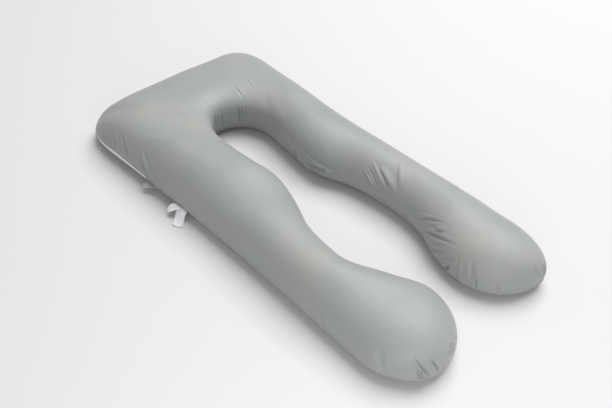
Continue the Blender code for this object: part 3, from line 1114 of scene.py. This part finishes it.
def bars_along(tree, name, line, ways, pitch, size, shift, material):
    data = bpy.data.meshes.new(name)
    data.from_pydata(line.tolist(), [(i, i + 1) for i in range(len(line) - 1)], [])
    outward = data.attributes.new("outward", "FLOAT_VECTOR", "POINT")
    outward.data.foreach_set("vector", ways.astype(np.float32).ravel())
    obj = add_object(name, data)
    modifier = obj.modifiers.new("bars", "NODES")
    modifier.node_group = tree
    inputs = {"Pitch": pitch, "Size": size, "Shift": shift, "Material": material}
    for socket in tree.interface.items_tree:
        if socket.name in inputs:
            modifier[socket.identifier] = inputs[socket.name]
    applied(obj)
    return obj


# ---- camera, floor and light

def add_camera():
    camera = add_object("camera", bpy.data.cameras.new("camera"))
    camera.data.lens = VIEW_LENS
    camera.location = VIEW_TARGET - toward(VIEW_TURN, -VIEW_DROP) * VIEW_DISTANCE
    camera.rotation_euler = (math.pi / 2 - VIEW_DROP, 0, -VIEW_TURN)
    bpy.context.scene.camera = camera


def add_studio():
    corners = np.array(((-1, -1, 0), (1, -1, 0), (1, 1, 0), (-1, 1, 0))) * FLOOR_REACH
    floor = add_mesh("floor", corners, [(0, 1, 2, 3)])
    floor.data.materials.append(finish("floor", speckled(FLOOR)))
    floor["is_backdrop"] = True
    world = bpy.data.worlds.new("world")
    world.use_nodes = True
    background = world.node_tree.nodes["Background"]
    background.inputs["Color"].default_value = (1, 1, 1, 1)
    background.inputs["Strength"].default_value = WORLD_STRENGTH
    bpy.context.scene.world = world
    bpy.context.scene.view_settings.view_transform = "Standard"
    for lamp in LAMPS:
        light = add_object(lamp.name, bpy.data.lights.new(lamp.name, "AREA"))
        light.data.energy, light.data.size = lamp.power, lamp.size
        way = toward(math.radians(lamp.azimuth), math.radians(lamp.elevation))
        light.location = way * lamp.distance
        light.visible_camera = False
        light.rotation_euler = (-way).to_track_quat("-Z", "Y").to_euler()


# ---- the pieces

def declare(piece, slot, *nodes):
    """Each piece rides on the one body and may stand for plain solids. The slot is not used."""
    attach(piece, "root")
    for node in nodes:
        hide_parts(node)


def add_zip(cover, tree):
    tape, teeth = finish("zip_tape", tape_cloth), finish("zip_nylon", speckled(NYLON))
    rows = cover.zip_rows()
    shown = shown_tape(cover.grid[rows, 0])
    for name, start, end in (("upper", TAPE_START, shown), ("lower", -TAPE_START, -TAPE_BELOW)):
        strip = zip_strip(cover, f"zip_tape_{name}_cloth", start, end, TAPE_LIFT, tape)
        declare(strip, "zip_cloth", f"zip_tape_{name}")
    half = COIL_WIDTH * COIL_CORE / 2
    core = zip_strip(cover, "zip_coil_core", -half, half, COIL_LIFT, teeth)
    spots, ways = (part[:, 0] for part in cover.beside_seam(rows, np.zeros(1)))
    size = TOOTH_PITCH * TOOTH_FILL, COIL_WIDTH * TOOTH_SHARE, COIL_HEIGHT
    line = spots + ways * COIL_LIFT
    chain = bars_along(tree, "zip_teeth", line, ways, TOOTH_PITCH, size, TOOTH_SHIFT, teeth)
    for piece in (core, chain):
        declare(piece, "zip_teeth", "zip_coil")


def add_stitches(cover, tree, sewing, flap_grid):
    """The hems beside the zip and the flap's own hem are each held by a row of stitches."""
    rows = cover.zip_rows()
    lines = {}
    shown = shown_tape(cover.grid[rows, 0])[:, None]
    for name, away in (("upper", shown + STITCH_INSET), ("lower", [-TAPE_BELOW - STITCH_INSET])):
        spots, ways = (part[:, 0] for part in cover.beside_seam(rows, away))
        lines[f"hem_stitches_{name}"] = spots + ways * THREAD / 4, ways
    inner = flap_grid[:FLAP_HEM_ROWS, [FLAP_HEM_COLUMN, -1 - FLAP_HEM_COLUMN]]
    edge = np.concatenate([inner[:, 0], inner[::-1, 1]])
    slopes = np.gradient(flap_grid, axis=(0, 1))
    down, across = (slope[FOLD_ROWS // 3, FOLD_COLUMNS // 2] for slope in slopes)
    way = unit(np.cross(across, down))
    way = way * np.sign(way[2])
    lines["flap_stitches"] = edge + way * FLAP.thickness / 2, np.tile(way, (len(edge), 1))
    size = STITCH_PITCH * STITCH_FILL, THREAD, THREAD
    for name, (line, ways) in lines.items():
        declare(bars_along(tree, name, line, ways, STITCH_PITCH, size, 0.0, sewing), "cover")


def add_sewn_in():
    """Adds the flap at the zip's end and the two blank labels, and gives back the flap's grid."""
    satin = finish("label_satin", label_satin)
    grids = []
    for cloth, material in (
        (FLAP, finish("flap_cloth_painted_light", flap_cloth_painted_light)), (LONG_LABEL, satin), (SHORT_LABEL, satin),
    ):
        grid, flat, area = sewn_in(cloth)
        piece = slab(f"{cloth.node}_cloth", grid, cloth.thickness, material)
        declare(piece, cloth.slot, cloth.node)
        grids.append(grid)
    return grids[0]


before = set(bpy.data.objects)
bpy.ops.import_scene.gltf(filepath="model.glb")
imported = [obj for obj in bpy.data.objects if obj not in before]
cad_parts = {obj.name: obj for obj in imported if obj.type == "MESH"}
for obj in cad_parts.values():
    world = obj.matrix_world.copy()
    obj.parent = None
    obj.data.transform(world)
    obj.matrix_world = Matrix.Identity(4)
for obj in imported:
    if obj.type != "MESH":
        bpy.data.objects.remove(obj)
cad_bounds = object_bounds()

add_camera()
add_studio()
first = first_grid()
cover = shaped_cover(swell(first))
cover.obj.data.materials.append(finish("cover_cloth", cover_cloth))
declare(cover.obj, "cover", "pillow")
bars = bars_tree()
add_zip(cover, bars)
flap_grid = add_sewn_in()
add_stitches(cover, bars, finish("sewing_thread", speckled(SEWING_THREAD)), flap_grid)

boxes = {"cad": cad_bounds, "visual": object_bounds()}
{name: [list(corner) for corner in box] for name, box in boxes.items()}
